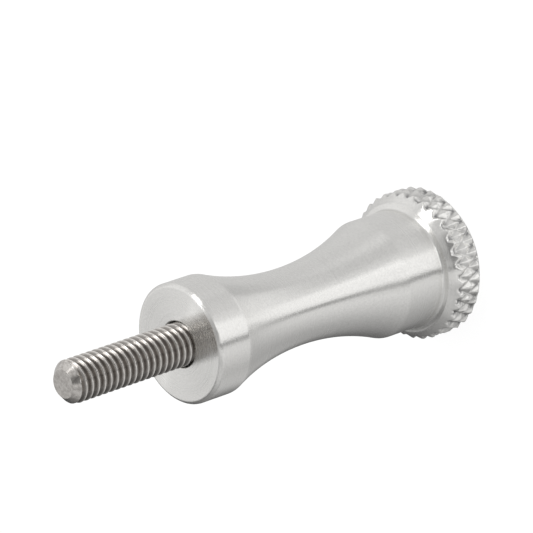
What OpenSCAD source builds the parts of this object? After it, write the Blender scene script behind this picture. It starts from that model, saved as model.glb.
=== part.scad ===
// Knurled spool bolt: a turned aluminium spool with a diamond-knurled head, and a socket head
// cap screw that runs through it and stands out of its small end. It stands on its head: the
// head face is at z = 0, the common axis is +Z, and the threaded end points up. Millimetres.

/* [Spool body] */
// Length of the spool between its two end faces
body_len = 62.3; // [60:0.1:70]
// Diameter of the plain cylinders at both ends of the waist
end_d = 22; // [21:0.1:23]
// Width of the bevel round the small end face
end_bevel = 0.55; // [0.3:0.05:1]

/* [Waist] */
// Diameter at the waist's narrowest point
waist_d = 14.4; // [13:0.1:17]
// Radius of the waist's hollow curve
waist_curve_r = 52; // [45:1:56]
// Height of the narrowest point above the head face
waist_height = 35.8; // [34:0.1:36.5]
// Radius of the soft edges where the waist meets the plain cylinders
waist_edge_r = 2; // [0.5:0.5:6]

/* [Knurled head] */
// Height of the head, from its face to the flat behind the knurl
head_h = 7.6; // [7:0.1:9]
// Diameter over the tips of the knurl
knurl_d = 27.6; // [27:0.1:30]
// Number of teeth round the knurl
knurl_teeth = 34; // [28:2:44]
// Depth of the knurl's grooves below the tips
knurl_depth = 0.65; // [0.4:0.05:1]
// Angle between each groove and the axis
knurl_angle = 30; // [25:1:40]
// Height turned off each tip, which leaves it blunt
knurl_blunt = 0.15; // [0.05:0.01:0.2]
// Width of the bevel round the head face
face_bevel = 1.35; // [1:0.05:1.8]
// Width of the bevel behind the knurl
back_bevel = 1.7; // [1:0.05:1.8]
// Radius of the fillet between the head and the shoulder
fillet_r = 0.6; // [0.4:0.05:1]

/* [Cap screw] */
// Outer diameter of the thread
thread_d = 7.94; // [7.8:0.02:8.5]
// Diameter of the plain shank, which is undersize as on a rolled thread
shank_d = 7.4; // [6.6:0.02:7.4]
// Length of the screw that stands out of the small end
thread_out = 26.6; // [15:0.1:40]
// Length of plain shank that stands out before the thread starts
thread_lead = 0.1; // [0.1:0.05:0.5]
// Width of the bevel at the thread's tip
tip_bevel = 1.4; // [0.5:0.1:1.8]
// Diameter of the screw's head
screw_head_d = 11.91; // [11.4:0.01:13]
// Height of the screw's head
screw_head_h = 7.94; // [7:0.02:9]
// Width of the bevel on the head's outer edge
screw_head_bevel = 0.25; // [0.1:0.05:0.5]
// Radius of the fillet under the head
neck_fillet_r = 0.3; // [0.15:0.05:0.4]
// Width of the hexagon socket across its flats
hex_af = 6.35; // [5:0.05:7]
// Depth of the hexagon socket below the screw's head face
hex_depth = 4.4; // [3.5:0.1:5]
// Width of the countersink beyond the hexagon's corners
hex_countersink = 0.25; // [0.1:0.05:0.4]
// Diameter of the drill pit at the bottom of the socket
pit_d = 4.4; // [3:0.1:4.8]

/* [Fits] */
// Gap all round between the thread and the bore
bore_gap = 0.25; // [0.1:0.05:0.4]
// Gap all round between the screw's head and the counterbore
head_gap = 0.4; // [0.1:0.05:0.5]
// Depth of the screw's head face below the head face of the spool
head_sink = 0.1; // [0.05:0.05:0.5]
// Width of the bevel at the bore's mouth in the small end
mouth_bevel = 0.15; // [0.1:0.05:0.3]
// Width of the bevel round the bore at the seat of the screw's head
seat_bevel = 0.5; // [0.4:0.05:0.6]

/* [Hidden] */
$fn = 96;
end_r = end_d / 2;
waist_center_r = waist_d / 2 + waist_curve_r;
edge_center_r = end_r - waist_edge_r;
knurl_r = knurl_d / 2;
thread_r = thread_d / 2;
bore_r = thread_r + bore_gap;
counterbore_r = screw_head_d / 2 + head_gap;
seat_z = head_sink + screw_head_h;
tip_z = body_len + thread_out;
hex_corner_r = hex_af / sqrt(3);
hex_floor_z = head_sink + hex_depth;
pit_depth = 0.5;
drill_point_angle = 118;
over = 1;

// The knurl's lattice: points lie in rows half a diamond apart, and along each row groove
// crossings and tips take turns, every half tooth.
half_tooth_angle = 180 / knurl_teeth;
half_diamond_len = PI * knurl_r / knurl_teeth / tan(knurl_angle);
knurl_mid_z = (face_bevel + head_h - back_bevel) / 2;
rows_each_way = ceil((head_h + 2 * over) / 2 / half_diamond_len) + 1;
lattice_columns = 2 * knurl_teeth;
lattice_rows = 2 * rows_each_way + 1;

function is_tip(row, column) = (row + column) % 2 == 1;

function lattice_point(row, column) =
    let (
        radius = is_tip(row, column) ? knurl_r + knurl_blunt : knurl_r - knurl_depth,
        angle = column * half_tooth_angle,
        z = knurl_mid_z + (row - rows_each_way) * half_diamond_len
    )
    [radius * cos(angle), radius * sin(angle), z];

function lattice_index(row, column) = row * lattice_columns + column % lattice_columns;

// The two triangles of one lattice cell, split along the groove that crosses it
function cell_faces(row, column) =
    let (
        a = lattice_index(row, column),
        b = lattice_index(row, column + 1),
        c = lattice_index(row + 1, column + 1),
        d = lattice_index(row + 1, column)
    )
    is_tip(row, column) ? [[a, d, b], [b, d, c]] : [[a, c, b], [a, d, c]];

// A drum whose whole side is diamond pyramids, longer than the head at both ends
module knurl_drum() {
    top_row = lattice_rows - 1;
    points = [
        for (row = [0 : top_row], column = [0 : lattice_columns - 1]) lattice_point(row, column)
    ];
    sides = [
        for (row = [0 : top_row - 1], column = [0 : lattice_columns - 1])
            each cell_faces(row, column)
    ];
    bottom_cap = [for (column = [0 : lattice_columns - 1]) lattice_index(0, column)];
    top_cap = [for (column = [lattice_columns - 1 : -1 : 0]) lattice_index(top_row, column)];
    polyhedron(points = points, faces = concat(sides, [bottom_cap, top_cap]));
}

// What the crossing grooves take off the rim of the head
module knurl_grooves() {
    difference() {
        translate([0, 0, -over])
            cylinder(r = knurl_r + over, h = head_h + 2 * over);
        knurl_drum();
    }
}

// What rounding takes off the edge at one end of the waist: side is 1 above it and -1 below
module waist_edge_cut(side) {
    edge_rise = sqrt(pow(waist_curve_r + waist_edge_r, 2) - pow(waist_center_r - edge_center_r, 2));
    waist_share = waist_curve_r / (waist_curve_r + waist_edge_r);
    edge_z = waist_height + side * edge_rise;
    touch_z = waist_height + side * edge_rise * waist_share;
    difference() {
        translate([edge_center_r, min(edge_z, touch_z)])
            square([waist_edge_r + over, abs(edge_z - touch_z)]);
        translate([edge_center_r, edge_z])
            circle(r = waist_edge_r);
    }
}

// Half section of the spool before knurling and boring, with the axis on the left
module spool_section() {
    difference() {
        polygon([
            [0, 0],
            [knurl_r - face_bevel, 0],
            [knurl_r, face_bevel],
            [knurl_r, head_h - back_bevel],
            [knurl_r - back_bevel, head_h],
            [end_r, head_h],
            [end_r, body_len - end_bevel],
            [end_r - end_bevel, body_len],
            [0, body_len]
        ]);
        translate([waist_center_r, waist_height])
            circle(r = waist_curve_r, $fn = 360);
        for (side = [-1, 1]) waist_edge_cut(side);
    }
    difference() {
        translate([end_r - fillet_r, head_h - fillet_r])
            square(2 * fillet_r);
        translate([end_r + fillet_r, head_h + fillet_r])
            circle(r = fillet_r);
    }
}

// The bore through the spool, its bevels and the counterbore for the screw's head
module spool_bores() {
    translate([0, 0, -over])
        cylinder(r = bore_r, h = body_len + 2 * over);
    translate([0, 0, -over])
        cylinder(r = counterbore_r, h = seat_z + over);
    translate([0, 0, seat_z])
        cylinder(r1 = bore_r + seat_bevel, r2 = bore_r, h = seat_bevel);
    translate([0, 0, body_len - mouth_bevel])
        cylinder(r1 = bore_r, r2 = bore_r + mouth_bevel, h = mouth_bevel);
}

module spool_body() {
    color("gainsboro")
    difference() {
        rotate_extrude() spool_section();
        knurl_grooves();
        spool_bores();
    }
}

// Half section of the screw before its socket is made, with the axis on the left
module screw_section() {
    head_r = screw_head_d / 2;
    shank_r = shank_d / 2;
    polygon([
        [0, head_sink],
        [head_r - screw_head_bevel, head_sink],
        [head_r, head_sink + screw_head_bevel],
        [head_r, seat_z],
        [shank_r, seat_z],
        [shank_r, body_len + thread_lead],
        [thread_r, body_len + thread_lead],
        [thread_r, tip_z - tip_bevel],
        [thread_r - tip_bevel, tip_z],
        [0, tip_z]
    ]);
    difference() {
        translate([shank_r - neck_fillet_r, seat_z - neck_fillet_r])
            square(2 * neck_fillet_r);
        translate([shank_r + neck_fillet_r, seat_z + neck_fillet_r])
            circle(r = neck_fillet_r);
    }
}

// The hexagon socket, its countersunk mouth and the drill pit below it
module hex_socket() {
    mouth_r = hex_corner_r + hex_countersink;
    pit_r = pit_d / 2;
    translate([0, 0, head_sink - over])
        cylinder(r = hex_corner_r, h = hex_depth + over, $fn = 6);
    translate([0, 0, head_sink])
        cylinder(r1 = mouth_r, r2 = 0, h = mouth_r);
    translate([0, 0, hex_floor_z - over])
        cylinder(r = pit_r, h = pit_depth + over);
    translate([0, 0, hex_floor_z + pit_depth])
        cylinder(r1 = pit_r, r2 = 0, h = pit_r / tan(drill_point_angle / 2));
}

module cap_screw() {
    color("darkgray")
    difference() {
        rotate_extrude() screw_section();
        hex_socket();
    }
}

spool_body();
cap_screw();
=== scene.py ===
import math

import bmesh
import bpy
from mathutils import Euler, Matrix, Vector, noise


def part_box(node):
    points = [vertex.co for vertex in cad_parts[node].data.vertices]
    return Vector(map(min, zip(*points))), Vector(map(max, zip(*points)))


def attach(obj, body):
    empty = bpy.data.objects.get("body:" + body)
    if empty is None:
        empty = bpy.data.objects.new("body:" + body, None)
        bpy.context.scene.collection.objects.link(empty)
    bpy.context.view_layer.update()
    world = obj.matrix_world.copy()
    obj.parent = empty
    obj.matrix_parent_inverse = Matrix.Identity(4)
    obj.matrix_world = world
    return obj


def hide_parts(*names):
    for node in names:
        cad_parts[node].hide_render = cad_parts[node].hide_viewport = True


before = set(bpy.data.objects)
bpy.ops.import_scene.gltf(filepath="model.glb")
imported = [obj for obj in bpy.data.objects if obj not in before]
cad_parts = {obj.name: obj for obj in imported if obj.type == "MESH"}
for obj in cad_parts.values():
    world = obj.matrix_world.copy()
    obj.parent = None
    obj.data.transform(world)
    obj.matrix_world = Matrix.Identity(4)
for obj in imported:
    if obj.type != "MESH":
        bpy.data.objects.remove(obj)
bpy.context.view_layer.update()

# Spool body: one piece of aluminium bar, turned on a lathe to a hollow waist between two plain
# cylinders. Two wheels roll the diamond knurl into the rim of its flange, and its bore and
# counterbore take the screw.
MM = 0.001
spool_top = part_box("spool_body")[1]
body_len = spool_top.z
knurl_r = spool_top.x
end_r = 11 * MM
end_bevel = 0.55 * MM
waist_r = 7.2 * MM
waist_curve_r = 52 * MM
waist_height = 35.8 * MM
waist_edge_r = 2 * MM
head_h = 7.6 * MM
face_bevel = 1.35 * MM
back_bevel = 1.7 * MM
fillet_r = 0.6 * MM
fillet_turn = 70
ring_rise = 0.12 * MM
bore_r = 4.22 * MM
mouth_bevel = 0.15 * MM
seat_bevel = 0.5 * MM
counterbore_r = 6.355 * MM
seat_z = 8.04 * MM
corner_r = 0.18 * MM
least_corner = math.radians(15)
corner_share = 0.25
knurl_teeth = 34
knurl_depth = 0.65 * MM
knurl_blunt = 0.15 * MM
knurl_angle = math.radians(30)
groove_wander = 0.14
groove_unevenness = 0.22
knurl_dents = 0.08 * MM
dent_size = 0.5 * MM
columns_per_tooth = 16
rows_per_half_diamond = 16
corner_steps = 2
waist_steps = 34
waist_edge_steps = 5
fillet_steps = 6
back_bevel_steps = 12
face_bevel_steps = 10
weld_gap = 0.001 * MM


def arc(center, radius, start, stop, steps):
    """Points of a section along an arc, with angles in degrees from +r towards +z."""
    turns = [math.radians(start + (stop - start) * i / steps) for i in range(steps + 1)]
    return [center + radius * Vector((math.cos(t), math.sin(t))) for t in turns]


def straight(start, stop, steps):
    """Points of a section along a line, without its two ends."""
    return [start.lerp(stop, i / steps) for i in range(1, steps)]


def soften(section, radius):
    """The section with its corners rounded, and a point on each side that keeps the flats flat."""
    softened = [section[0]]
    for before, corner, after in zip(section, section[1:], section[2:]):
        arriving = corner - before
        leaving = after - corner
        if arriving.angle(leaving) < least_corner:
            softened.append(corner)
            continue
        reach = min(radius, corner_share * arriving.length, corner_share * leaving.length)
        arriving = arriving.normalized() * reach
        leaving = leaving.normalized() * reach
        softened.append(corner - 2 * arriving)
        for i in range(corner_steps + 1):
            share = i / corner_steps
            softened.append(corner - arriving * (1 - share) ** 2 + leaving * share ** 2)
        softened.append(corner + 2 * leaving)
    return softened + [section[-1]]


edge_center_r = end_r - waist_edge_r
waist_center_r = waist_r + waist_curve_r
edge_rise = math.sqrt((waist_curve_r + waist_edge_r) ** 2 - (waist_center_r - edge_center_r) ** 2)
edge_turn = math.degrees(math.asin(edge_rise / (waist_curve_r + waist_edge_r)))
upper_edge = Vector((edge_center_r, waist_height + edge_rise))
waist_center = Vector((waist_center_r, waist_height))
lower_edge = Vector((edge_center_r, waist_height - edge_rise))
waist = (
    arc(upper_edge, waist_edge_r, 0, -edge_turn, waist_edge_steps)[:-1]
    + arc(waist_center, waist_curve_r, 180 - edge_turn, 180 + edge_turn, waist_steps)
    + arc(lower_edge, waist_edge_r, edge_turn, 0, waist_edge_steps)[1:]
)
fillet_center = Vector((end_r + fillet_r, head_h + ring_rise + fillet_r))
fillet = arc(fillet_center, fillet_r, 180, 180 + fillet_turn, fillet_steps)

half_tooth = math.pi / knurl_teeth
half_diamond = knurl_r * half_tooth / math.tan(knurl_angle)
knurl_mid = (face_bevel + head_h - back_bevel) / 2
rim_step = half_diamond / rows_per_half_diamond
rim_half = head_h - back_bevel - knurl_mid
rim_rows = int(rim_half / rim_step)
face_edge = Vector((knurl_r - face_bevel, 0))
face_corner = Vector((knurl_r, face_bevel))
back_corner = Vector((knurl_r, head_h - back_bevel))
back_edge = Vector((knurl_r - back_bevel, head_h))
rim = (
    [back_edge, *straight(back_edge, back_corner, back_bevel_steps), back_corner]
    + [Vector((knurl_r, knurl_mid - i * rim_step)) for i in range(-rim_rows, rim_rows + 1)]
    + [face_corner, *straight(face_corner, face_edge, face_bevel_steps), face_edge]
)
spool_section = soften([
    Vector((bore_r, seat_z + seat_bevel)),
    Vector((bore_r, body_len - mouth_bevel)),
    Vector((bore_r + mouth_bevel, body_len)),
    Vector((end_r - end_bevel, body_len)),
    Vector((end_r, body_len - end_bevel)),
    *waist,
    *fillet,
    *rim,
    Vector((counterbore_r, 0)),
    Vector((counterbore_r, seat_z)),
    Vector((bore_r + seat_bevel, seat_z)),
    Vector((bore_r, seat_z + seat_bevel)),
], corner_r)


def groove_climb(place, wheel):
    """Share of the full height that the metal has between the grooves of one wheel.

    Each groove has its own lot, which shifts it a little and makes it deeper or shallower.
    """
    groove = round(place)
    lot = noise.cell_vector(Vector((groove % knurl_teeth + 0.5, wheel + 0.5, 0.5)))
    from_groove = abs(place - groove - groove_wander * (lot.x - 0.5))
    return 2 * from_groove - groove_unevenness * (lot.y - 0.5)


def knurled(radius, angle, z):
    """What the two sets of grooves leave of a radius on the flange."""
    across = angle / half_tooth
    along = (z - knurl_mid) / half_diamond
    climb = min(
        groove_climb((across + along) / 2, wheel=1),
        groove_climb((across - along) / 2, wheel=2),
    )
    place = Vector((knurl_r * math.cos(angle), knurl_r * math.sin(angle), z))
    dent = knurl_dents * noise.noise(place / dent_size)
    return min(radius, knurl_r - knurl_depth + climb * (knurl_depth + knurl_blunt) + dent)


def loft(bm, rows, shift=0):
    """Faces between rows of points round the axis. A row closes on the row that is shift further."""
    grid = [[bm.verts.new(point) for point in row] for row in rows]
    for i in range(len(grid) - 1):
        low = grid[i]
        high = grid[i + 1]
        for j in range(len(low) - 1):
            bm.faces.new((low[j], low[j + 1], high[j + 1], high[j]))
        if i + 1 + shift < len(grid):
            bm.faces.new((low[-1], grid[i + shift][0], grid[i + 1 + shift][0], high[-1]))


def make_piece(name, bm, material, sharp_angle):
    """One closed mesh from the lofts, smooth but for edges sharper than the angle."""
    bmesh.ops.remove_doubles(bm, verts=bm.verts, dist=weld_gap)
    bmesh.ops.recalc_face_normals(bm, faces=bm.faces)
    mesh = bpy.data.meshes.new(name)
    bm.to_mesh(mesh)
    bm.free()
    mesh.shade_smooth()
    mesh.set_sharp_from_angle(angle=sharp_angle)
    mesh.materials.append(material)
    piece = bpy.data.objects.new(name, mesh)
    bpy.context.collection.objects.link(piece)
    return piece


def add(tree, kind, inputs=(), **settings):
    """A shader node with its settings, and its inputs as values or as other nodes' outputs."""
    made = tree.nodes.new("ShaderNode" + kind)
    for name, value in settings.items():
        setattr(made, name, value)
    for name, value in dict(inputs).items():
        if isinstance(value, bpy.types.NodeSocket):
            tree.links.new(value, made.inputs[name])
        else:
            made.inputs[name].default_value = value
    return made


def reckon(tree, operation, *values):
    """What an operation gives for its values."""
    return add(tree, "Math", enumerate(values), operation=operation).outputs["Value"]


def ramp(tree, value, start, stop, low=0, high=1):
    """A share that goes from low to high as the value goes from start to stop."""
    made = add(tree, "MapRange", {
        "Value": value, "From Min": start, "From Max": stop, "To Min": low, "To Max": high,
    })
    return made.outputs["Result"]


def blend(tree, share, under, over):
    """The colour under another one, which covers it by a share."""
    made = add(tree, "Mix", {"Factor": share, "A": under, "B": over}, data_type="RGBA")
    return made.outputs["Result"]


def metal(name, anisotropy):
    """A new metal that was cut or rolled round the axis, with its node tree and shader."""
    material = bpy.data.materials.new(name)
    material.use_nodes = True
    tree = material.node_tree
    shader = tree.nodes["Principled BSDF"]
    quarter_turn = 0.25
    shader.inputs["Metallic"].default_value = 1
    shader.inputs["Anisotropic"].default_value = anisotropy
    shader.inputs["Anisotropic Rotation"].default_value = quarter_turn
    round_axis = add(tree, "Tangent", direction_type="RADIAL", axis="Z")
    tree.links.new(round_axis.outputs["Tangent"], shader.inputs["Tangent"])
    return material, tree, shader


def lathe_place(tree):
    """A place on the surface, its radius, its height, and a place that is the same all round."""
    place = add(tree, "TexCoord").outputs["Object"]
    level = add(tree, "VectorMath", {0: place, 1: (1, 1, 0)}, operation="MULTIPLY")
    reach = add(tree, "VectorMath", {0: level.outputs["Vector"]}, operation="LENGTH")
    from_axis = reach.outputs["Value"]
    height = add(tree, "SeparateXYZ", {"Vector": place}).outputs["Z"]
    ring_place = add(tree, "CombineXYZ", {"X": from_axis, "Z": height}).outputs["Vector"]
    return place, from_axis, height, ring_place


aluminium_tint = (1, 0.99, 0.965)
# Painted shade for the knurl's grooves: its grey, and where it starts and is full.
groove_shade_grey = (0.3, 0.3, 0.3, 1)
groove_shade_start_r = knurl_r - 0.4 * knurl_depth
groove_shade_full_r = knurl_r - 0.9 * knurl_depth
groove_shade_start_half = 0.3 * rim_half
groove_shade_full_half = 0.9 * rim_half
groove_shade_edge_half = rim_half + 0.4 * knurl_depth
mid_groove_shade = 0.25
turned_r = knurl_r - 2 * knurl_depth
rolled_r = knurl_r - knurl_depth
rolled_roughness = 0.55
noise_low = 0.3
noise_high = 0.7
speckle_depth = 0.009 * MM
tool_mark_depth = 0.006 * MM

turned_aluminium, tree, shader = metal("turned_aluminium", anisotropy=1)
place, from_axis, height, ring_place = lathe_place(tree)
ring_look = {"Vector": ring_place, "Scale": 3200, "Detail": 5, "Roughness": 0.65}
rings = add(tree, "TexNoise", ring_look).outputs["Fac"]
grain = add(tree, "TexNoise", {"Vector": place, "Scale": 2600, "Detail": 2}).outputs["Fac"]
ring_and_grain = reckon(tree, "ADD", rings, grain)
tone = ramp(tree, ring_and_grain, 2 * noise_low, 2 * noise_high, low=0.82, high=0.95)
tint = add(tree, "VectorMath", {0: aluminium_tint, "Scale": tone}, operation="SCALE")

# Painted shade: the knurl's grooves are painted darker in patches, most of it at their ends.
in_groove = ramp(tree, from_axis, groove_shade_start_r, groove_shade_full_r)
from_mid = reckon(tree, "ABSOLUTE", reckon(tree, "SUBTRACT", height, knurl_mid))
groove_end = ramp(tree, from_mid, groove_shade_start_half, groove_shade_full_half, low=mid_groove_shade)
on_rim = reckon(tree, "LESS_THAN", from_mid, groove_shade_edge_half)
patches = add(tree, "TexNoise", {"Vector": place, "Scale": 800, "Detail": 1}).outputs["Fac"]
patchy = ramp(tree, patches, 0.25, 0.5)
groove_shade = in_groove
for share in (groove_end, on_rim, patchy):
    groove_shade = reckon(tree, "MULTIPLY", groove_shade, share)
groove_shaded = blend(tree, groove_shade, tint.outputs["Vector"], groove_shade_grey)
tree.links.new(groove_shaded, shader.inputs["Base Color"])

# The wheels burnish the rim, so it is smoother than the turned faces.
gloss = ramp(tree, rings, noise_low, noise_high, low=0.2, high=0.29)
burnish = ramp(tree, from_axis, turned_r, rolled_r, low=1, high=rolled_roughness)
tree.links.new(reckon(tree, "MULTIPLY", gloss, burnish), shader.inputs["Roughness"])
speckle = add(tree, "Bump", {"Height": grain, "Strength": 1, "Distance": speckle_depth})
tool_marks = add(tree, "Bump", {
    "Height": rings, "Strength": 0.25, "Distance": tool_mark_depth,
    "Normal": speckle.outputs["Normal"],
})
tree.links.new(tool_marks.outputs["Normal"], shader.inputs["Normal"])

spool_columns = knurl_teeth * columns_per_tooth
spool_angles = [2 * math.pi * j / spool_columns for j in range(spool_columns)]
spool_rows = []
for radius, z in spool_section:
    row = []
    for angle in spool_angles:
        reach = knurled(radius, angle, z) if z <= head_h else radius
        row.append((reach * math.cos(angle), reach * math.sin(angle), z))
    spool_rows.append(row)
bm = bmesh.new()
loft(bm, spool_rows)
spool = make_piece("turned_spool", bm, turned_aluminium, sharp_angle=math.radians(120))
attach(spool, "root")
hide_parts("spool_body")

# Cap screw: a stainless socket head cap screw, headed and rolled from wire. Its head lies in the
# counterbore, its undersize shank runs through the bore, and its thread stands out of the small
# end, where it is screwed into what the bolt holds.
tip_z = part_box("cap_screw")[1].z
head_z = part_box("cap_screw")[0].z
screw_head_r = 5.955 * MM
screw_head_bevel = 0.25 * MM
screw_head_corner_r = 0.06 * MM
neck_fillet_r = 0.3 * MM
shank_r = 3.7 * MM
hex_half_width = 3.175 * MM
hex_countersink = 0.25 * MM
hex_floor_z = 4.5 * MM
pit_r = 2.2 * MM
pit_depth = 0.5 * MM
drill_point_angle = math.radians(118)
thread_r = 3.97 * MM
inch_in_mm = 25.4
turns_per_inch = 18
thread_pitch = inch_in_mm / turns_per_inch * MM
thread_depth = 0.86 * MM
thread_crest = 0.14 * MM
thread_slope = math.tan(math.radians(60))
crest_round = 0.2 * MM
root_round = 0.25 * MM
thread_offset = -0.25 * MM
thread_start_z = 59.8 * MM
thread_full_z = 61.5 * MM
thread_end_z = tip_z - 1.5 * MM
thread_fade = 0.7 * MM
tip_bevel = 1.4 * MM
tip_ring_shares = (1, 0.95, 0.7, 0.4, 0)
screw_columns = 96
thread_rows = 20
neck_steps = 4

screw_angles = [2 * math.pi * j / screw_columns for j in range(screw_columns)]


def ring(radius, z):
    """A level row of points round the axis."""
    return [(radius * math.cos(angle), radius * math.sin(angle), z) for angle in screw_angles]


def hexagon_reach(angle):
    """Distance from the axis to the hexagon's wall."""
    from_flat = angle % (math.pi / 3) - math.pi / 6
    return hex_half_width / math.cos(from_flat)


mouth_r = hex_half_width / math.cos(math.pi / 6) + hex_countersink
pit_floor_z = hex_floor_z + pit_depth
pit_point_z = pit_floor_z + pit_r / math.tan(drill_point_angle / 2)
hexagon = [hexagon_reach(angle) for angle in screw_angles]
hexagon_floor = [
    (reach * math.cos(angle), reach * math.sin(angle), hex_floor_z)
    for reach, angle in zip(hexagon, screw_angles)
]
hexagon_mouth = [
    (reach * math.cos(angle), reach * math.sin(angle), head_z + mouth_r - reach)
    for reach, angle in zip(hexagon, screw_angles)
]
head_section = soften([
    Vector((mouth_r, head_z)),
    Vector((screw_head_r - screw_head_bevel, head_z)),
    Vector((screw_head_r, head_z + screw_head_bevel)),
    Vector((screw_head_r, seat_z)),
    Vector((shank_r + neck_fillet_r, seat_z)),
], screw_head_corner_r)
neck_center = Vector((shank_r + neck_fillet_r, seat_z + neck_fillet_r))
neck = arc(neck_center, neck_fillet_r, 270, 180, neck_steps)
head_rows = [
    ring(0, pit_point_z),
    ring(pit_r, pit_floor_z),
    ring(pit_r, hex_floor_z),
    hexagon_floor,
    hexagon_mouth,
    *[ring(*point) for point in head_section],
    *[ring(*point) for point in neck],
    ring(shank_r, thread_start_z),
]


def soft_min(a, b, blend_width):
    """The smaller of two values, with a round passage between them."""
    return min(a, b) - max(blend_width - abs(a - b), 0) ** 2 / (4 * blend_width)


def thread_sink(share):
    """Depth of the thread below its crest at a share of the pitch from a crest."""
    from_crest = abs(share - round(share)) * thread_pitch
    flank = (from_crest - thread_crest / 2) * thread_slope
    return soft_min(-soft_min(-flank, 0, crest_round), thread_depth, root_round)


def thread_point(i, angle):
    """A point of the thread's surface. Its rows climb one pitch a turn, and stop at both ends."""
    turn = angle / (2 * math.pi)
    free_z = thread_start_z + (i / thread_rows - 1 + turn) * thread_pitch
    z = min(max(free_z, thread_start_z), tip_z)
    grown = min(max((z - thread_start_z) / (thread_full_z - thread_start_z), 0), 1)
    kept = min(max((thread_end_z + thread_fade - z) / thread_fade, 0), 1)
    sink = kept * thread_sink((free_z - tip_z - thread_offset) / thread_pitch - turn)
    radius = min(shank_r + (thread_r - sink - shank_r) * grown, thread_r - tip_bevel + tip_z - z)
    return radius * math.cos(angle), radius * math.sin(angle), z


thread_turns = (tip_z - thread_start_z) / thread_pitch
row_count = math.ceil((thread_turns + 2) * thread_rows) + 1
thread = [[thread_point(i, angle) for angle in screw_angles] for i in range(row_count)]
tip_r = thread_r - tip_bevel
tip_rows = [ring(tip_r * share, tip_z) for share in tip_ring_shares]

steel_dark = (0.46, 0.435, 0.41, 1)
steel_light = (0.82, 0.79, 0.755, 1)
# Painted highlight, partly rubbed wear, on the thread's crests.
rubbed_and_highlit_steel = (0.95, 0.92, 0.88, 1)
# Painted shade for the thread's grooves.
thread_groove_shade_steel = (0.3, 0.28, 0.262, 1)
cut_steel = (0.2, 0.19, 0.18, 1)
cut_share = 0.4
cut_z = tip_z - 0.02 * MM
# Where the crests' painted highlight and rubbed wear start and are full.
rub_and_highlight_start_r = thread_r - 0.12 * MM
rub_and_highlight_full_r = thread_r - 0.03 * MM
# Where the painted shade in the thread's grooves starts and is full.
thread_shade_start_r = thread_r - 0.08 * MM
thread_shade_full_r = thread_r - 0.34 * MM
thread_mid_z = (thread_start_z + thread_end_z) / 2
thread_half = (thread_end_z - thread_start_z) / 2
rolling_mark_depth = 0.005 * MM

stainless_steel, tree, shader = metal("stainless_steel", anisotropy=0.2)
place, from_axis, height, ring_place = lathe_place(tree)
ring_look = {"Vector": ring_place, "Scale": 4000, "Detail": 4, "Roughness": 0.6}
rings = add(tree, "TexNoise", ring_look).outputs["Fac"]
grain_look = {"Vector": place, "Scale": 1500, "Detail": 4, "Roughness": 0.6}
grain = add(tree, "TexNoise", grain_look).outputs["Fac"]
mottle = ramp(tree, grain, noise_low, noise_high)
mottled = blend(tree, mottle, steel_dark, steel_light)

# Painted highlight, partly their rubbed wear: the thread's crests are painted lighter. Painted shade
# darkens its grooves, and the cut end is dull.
in_thread = reckon(tree, "COMPARE", height, thread_mid_z, thread_half)
crest = reckon(tree, "MULTIPLY", ramp(tree, from_axis, rub_and_highlight_start_r, rub_and_highlight_full_r), in_thread)
rubbed_and_highlit = blend(tree, crest, mottled, rubbed_and_highlit_steel)
# Painted shade: the thread's grooves are painted darker towards their roots.
thread_shade_mask = reckon(tree, "MULTIPLY", ramp(tree, from_axis, thread_shade_start_r, thread_shade_full_r), in_thread)
thread_shaded = blend(tree, thread_shade_mask, rubbed_and_highlit, thread_groove_shade_steel)
cut_end = reckon(tree, "MULTIPLY", reckon(tree, "GREATER_THAN", height, cut_z), cut_share)
finished = blend(tree, cut_end, thread_shaded, cut_steel)
tree.links.new(finished, shader.inputs["Base Color"])
gloss = ramp(tree, rings, noise_low, noise_high, low=0.15, high=0.25)
tree.links.new(gloss, shader.inputs["Roughness"])
rolling_marks = add(tree, "Bump", {"Height": rings, "Strength": 0.3, "Distance": rolling_mark_depth})
tree.links.new(rolling_marks.outputs["Normal"], shader.inputs["Normal"])

bm = bmesh.new()
loft(bm, head_rows)
loft(bm, thread, shift=thread_rows)
loft(bm, tip_rows)
screw = make_piece("cap_screw_steel", bm, stainless_steel, sharp_angle=math.radians(40))
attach(screw, "root")
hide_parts("cap_screw")

# Floor: a plain white sheet under the bolt, a hair below its head face. The camera sees it as
# white with a faint shadow, and the metal shows the studio's panels in its place.
floor_half = 2.0
floor_z = -0.05 * MM
floor_grey = (0.3, 0.3, 0.3, 1)
floor_glow = 0.86
floor_mesh = bpy.data.meshes.new("floor")
floor_sides = ((-1, -1), (1, -1), (1, 1), (-1, 1))
floor_corners = [(x * floor_half, y * floor_half, floor_z) for x, y in floor_sides]
floor_mesh.from_pydata(floor_corners, [], [(0, 1, 2, 3)])
floor = bpy.data.objects.new("floor", floor_mesh)
bpy.context.collection.objects.link(floor)
floor.visible_glossy = False

floor_white = bpy.data.materials.new("floor_white")
floor_white.use_nodes = True
tree = floor_white.node_tree
tree.nodes.remove(tree.nodes["Principled BSDF"])
lit = add(tree, "BsdfDiffuse", {"Color": floor_grey})
seen = add(tree, "LightPath").outputs["Is Camera Ray"]
white = add(tree, "Emission", {"Strength": reckon(tree, "MULTIPLY", seen, floor_glow)})
both = add(tree, "AddShader", {0: lit.outputs["BSDF"], 1: white.outputs["Emission"]})
tree.links.new(both.outputs["Shader"], tree.nodes["Material Output"].inputs["Surface"])
floor_mesh.materials.append(floor_white)

# Studio: a light tent of pale panels round the bolt, with a narrow dark gap in front, a dim corner
# behind, and round panels and openings that fade into it. Four lamps add to it: a soft box on the
# +X side, a second one above, and two weak fills on the -X side, close to the small end.

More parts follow.
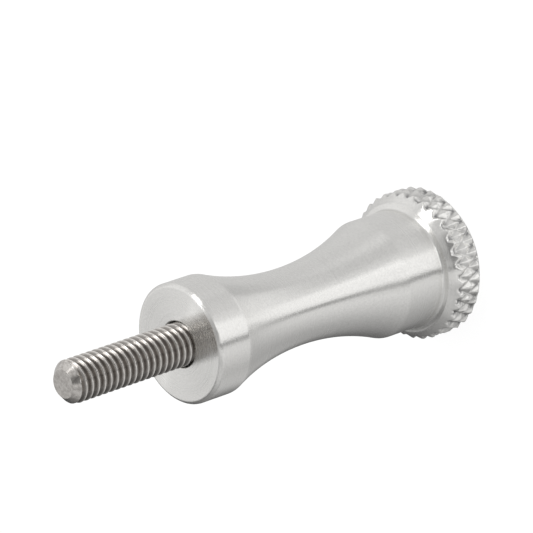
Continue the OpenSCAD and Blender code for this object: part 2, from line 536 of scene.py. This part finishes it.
# Bearing in degrees, from -Y towards -X, and the level of the panels there
panel_levels = [
    (-180, 0.33), (-171, 0.62), (-130, 0.69), (-72, 0.63), (-60, 0.61), (-44, 0.6), (-32, 0.62),
    (-24, 0.73), (-18, 0.76), (-13, 0.94), (-9, 1.02), (14, 1.0), (21, 0.92), (23, 0.26),
    (29.2, 0.26), (31.2, 0.76), (42, 0.76), (60, 0.65), (90, 0.44), (130, 0.24), (150, 0.13),
    (172, 0.09), (179.5, 0.32),
]
side_level = 0.44
# Direction, level, half angle, and width of the fading edge in degrees
round_panels = [
    ((-0.25, 0, 0.97), 0.5, 20, 14),
    ((0.25, 0.75, 0.61), 0.82, 19, 13),
    ((0.02, -0.62, 0.78), 0.2, 10, 15),
    ((0.64, 0.5, 0.58), 0.9, 10, 12),
    ((0.36, 0.1, -0.93), 0.5, 9, 9),
    ((0.86, 0.28, 0.39), 0.82, 12, 14),
    ((0.89, -0.29, -0.34), 0.66, 8, 14),
    ((-0.8, -0.15, 0.58), 0.5, 12, 16),
    ((-0.44, -0.88, -0.12), 0.6, 6, 9),
    ((-0.35, 0.35, -0.87), 0.42, 10, 12),
    ((0.17, -0.905, 0.39), 1.6, 5, 6),
    ((0.29, -0.31, -0.905), 0.96, 13, 6),
]
white_paper = (1, 1, 1, 1)


def grey(level):
    """A colour without a tint."""
    return (level, level, level, 1)


world = bpy.data.worlds.new("studio")
bpy.context.scene.world = world
world.use_nodes = True
tree = world.node_tree
look = add(tree, "TexCoord").outputs["Generated"]
compass = add(tree, "TexGradient", {"Vector": look}, gradient_type="RADIAL")
panels = add(tree, "ValToRGB", {"Fac": compass.outputs["Fac"]})
stops = panels.color_ramp.elements
stops.remove(stops[0])
stops[0].position = 0
for bearing, level in panel_levels:
    stop = stops.new((0.25 - bearing / 360) % 1)
    stop.color = grey(level)
# The ramp's two ends meet at -X.
for stop in (stops[0], stops.new(1)):
    stop.color = grey(side_level)


def hang(tree, behind, direction, level, half_angle, fade_angle):
    """The tent with one more round panel or opening in it, which fades out round its edge."""
    centre = Vector(direction).normalized()
    nearness = add(tree, "VectorMath", {0: look, 1: centre}, operation="DOT_PRODUCT")
    cover = add(tree, "MapRange", {
        "Value": nearness.outputs["Value"],
        "From Min": math.cos(math.radians(half_angle + fade_angle)),
        "From Max": math.cos(math.radians(half_angle)),
    }, interpolation_type="SMOOTHSTEP")
    return blend(tree, cover.outputs["Result"], behind, grey(level))


tent = panels.outputs["Color"]
for direction, level, half_angle, fade_angle in round_panels:
    tent = hang(tree, tent, direction, level, half_angle, fade_angle)
seen = add(tree, "LightPath").outputs["Is Camera Ray"]
shown = blend(tree, seen, tent, white_paper)
tree.links.new(shown, tree.nodes["Background"].inputs["Color"])


def set_lamp(name, target, direction, distance, width, height, power, spread=180):
    """A flat lamp that hangs in a direction from its target, and faces it."""
    data = bpy.data.lights.new(name, "AREA")
    data.shape = "RECTANGLE"
    data.size = width
    data.size_y = height
    data.energy = power
    data.spread = math.radians(spread)
    lamp = bpy.data.objects.new(name, data)
    bpy.context.collection.objects.link(lamp)
    towards = Vector(direction).normalized()
    lamp.location = target + towards * distance
    lamp.rotation_euler = towards.to_track_quat("Z", "Y").to_euler()


head_face = Vector((0, 0, 0))
below_end_face = 3 * MM
small_end = Vector((0, 0, body_len - below_end_face))
set_lamp(
    "soft_box", head_face, direction=(0.735, -0.265, 0.625), distance=0.4,
    width=0.125, height=0.125, power=0.09,
)
set_lamp(
    "low_fill", small_end, direction=(-0.68, 0.34, -0.54), distance=0.058,
    width=0.075, height=0.03, power=0.00021, spread=60,
)
set_lamp(
    "top_box", small_end, direction=(0.5, 0.06, 0.865), distance=0.4,
    width=0.13, height=0.13, power=0.13,
)
set_lamp(
    "side_fill", small_end, direction=(-0.82, 0.02, 0.55), distance=0.12,
    width=0.09, height=0.09, power=0.0028,
)

# Camera: it looks down at the bolt with a long lens, and is rolled so that the bolt lies across
# the picture with its thread to the lower left.
aim = Vector((8.062, 3.511, 34.905)) * MM
camera_distance = 805.4 * MM
camera_elevation = math.radians(39.673)
camera_roll = math.radians(-108.446)
camera_data = bpy.data.cameras.new("camera")
camera_data.sensor_width = 36
camera_data.lens = 303.94
camera = bpy.data.objects.new("camera", camera_data)
bpy.context.collection.objects.link(camera)
look_down = Euler((math.pi / 2 - camera_elevation, 0, 0)).to_matrix()
turn = look_down @ Matrix.Rotation(camera_roll, 3, "Z")
camera.rotation_euler = turn.to_euler()
camera.location = aim + turn @ Vector((0, 0, camera_distance))
bpy.context.scene.camera = camera
bpy.context.scene.view_settings.view_transform = "Standard"
